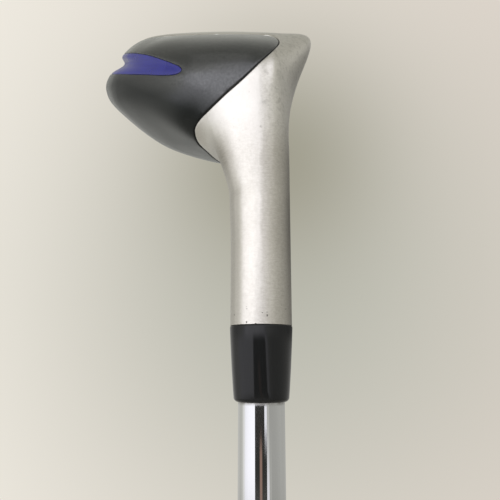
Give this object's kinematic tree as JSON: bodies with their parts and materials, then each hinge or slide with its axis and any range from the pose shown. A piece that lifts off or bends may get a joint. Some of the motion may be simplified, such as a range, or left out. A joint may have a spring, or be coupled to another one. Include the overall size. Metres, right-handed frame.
{
  "type": "hybrid golf club",
  "caption": "Right-handed hybrid golf club with a hollow steel head under a dark wrap-round crown, on a stepped steel shaft with a slip-on rubber grip.",
  "frame": {"origin": "centre of the grip's butt end, on the shaft's axis", "axes": "+Z along the shaft from the butt to the head, +X toward the target, +Y away from the golfer toward the head's toe side"},
  "size_m": [0.0605, 0.0889, 1.034],
  "materials": {
    "head_steel": "satin, fine vertical brushing with small handling dings",
    "face_steel": "satin, milled across, score lines pressed in",
    "crown_finish": "dark graphite satin gloss over thin titanium",
    "bond": "dark adhesive, matt",
    "cove_blue": "blue, smooth, semi-gloss",
    "ferrule_black": "black, polished",
    "epoxy": "cured epoxy, unseen",
    "shaft_chrome": "bright chrome plate",
    "plug_brass": "turned brass, unseen",
    "band_foil": "bare silver foil label",
    "tape": "double-sided paper tape, unseen",
    "grip_rubber": "black moulded rubber, matt, shallow texture",
    "cap_rubber": "harder black rubber, matt"
  },
  "bodies": {
    "root": {"head_body": "head_steel", "face_plate": "face_steel", "crown_shell": "crown_finish", "crown_bond": "bond", "cove_inlay": "cove_blue", "ferrule": "ferrule_black", "hosel_epoxy": "epoxy", "shaft": "shaft_chrome", "tip_plug": "plug_brass", "shaft_band": "band_foil", "grip_tape": "tape", "grip": "grip_rubber", "butt_cap": "cap_rubber"}
  },
  "joints": []
}
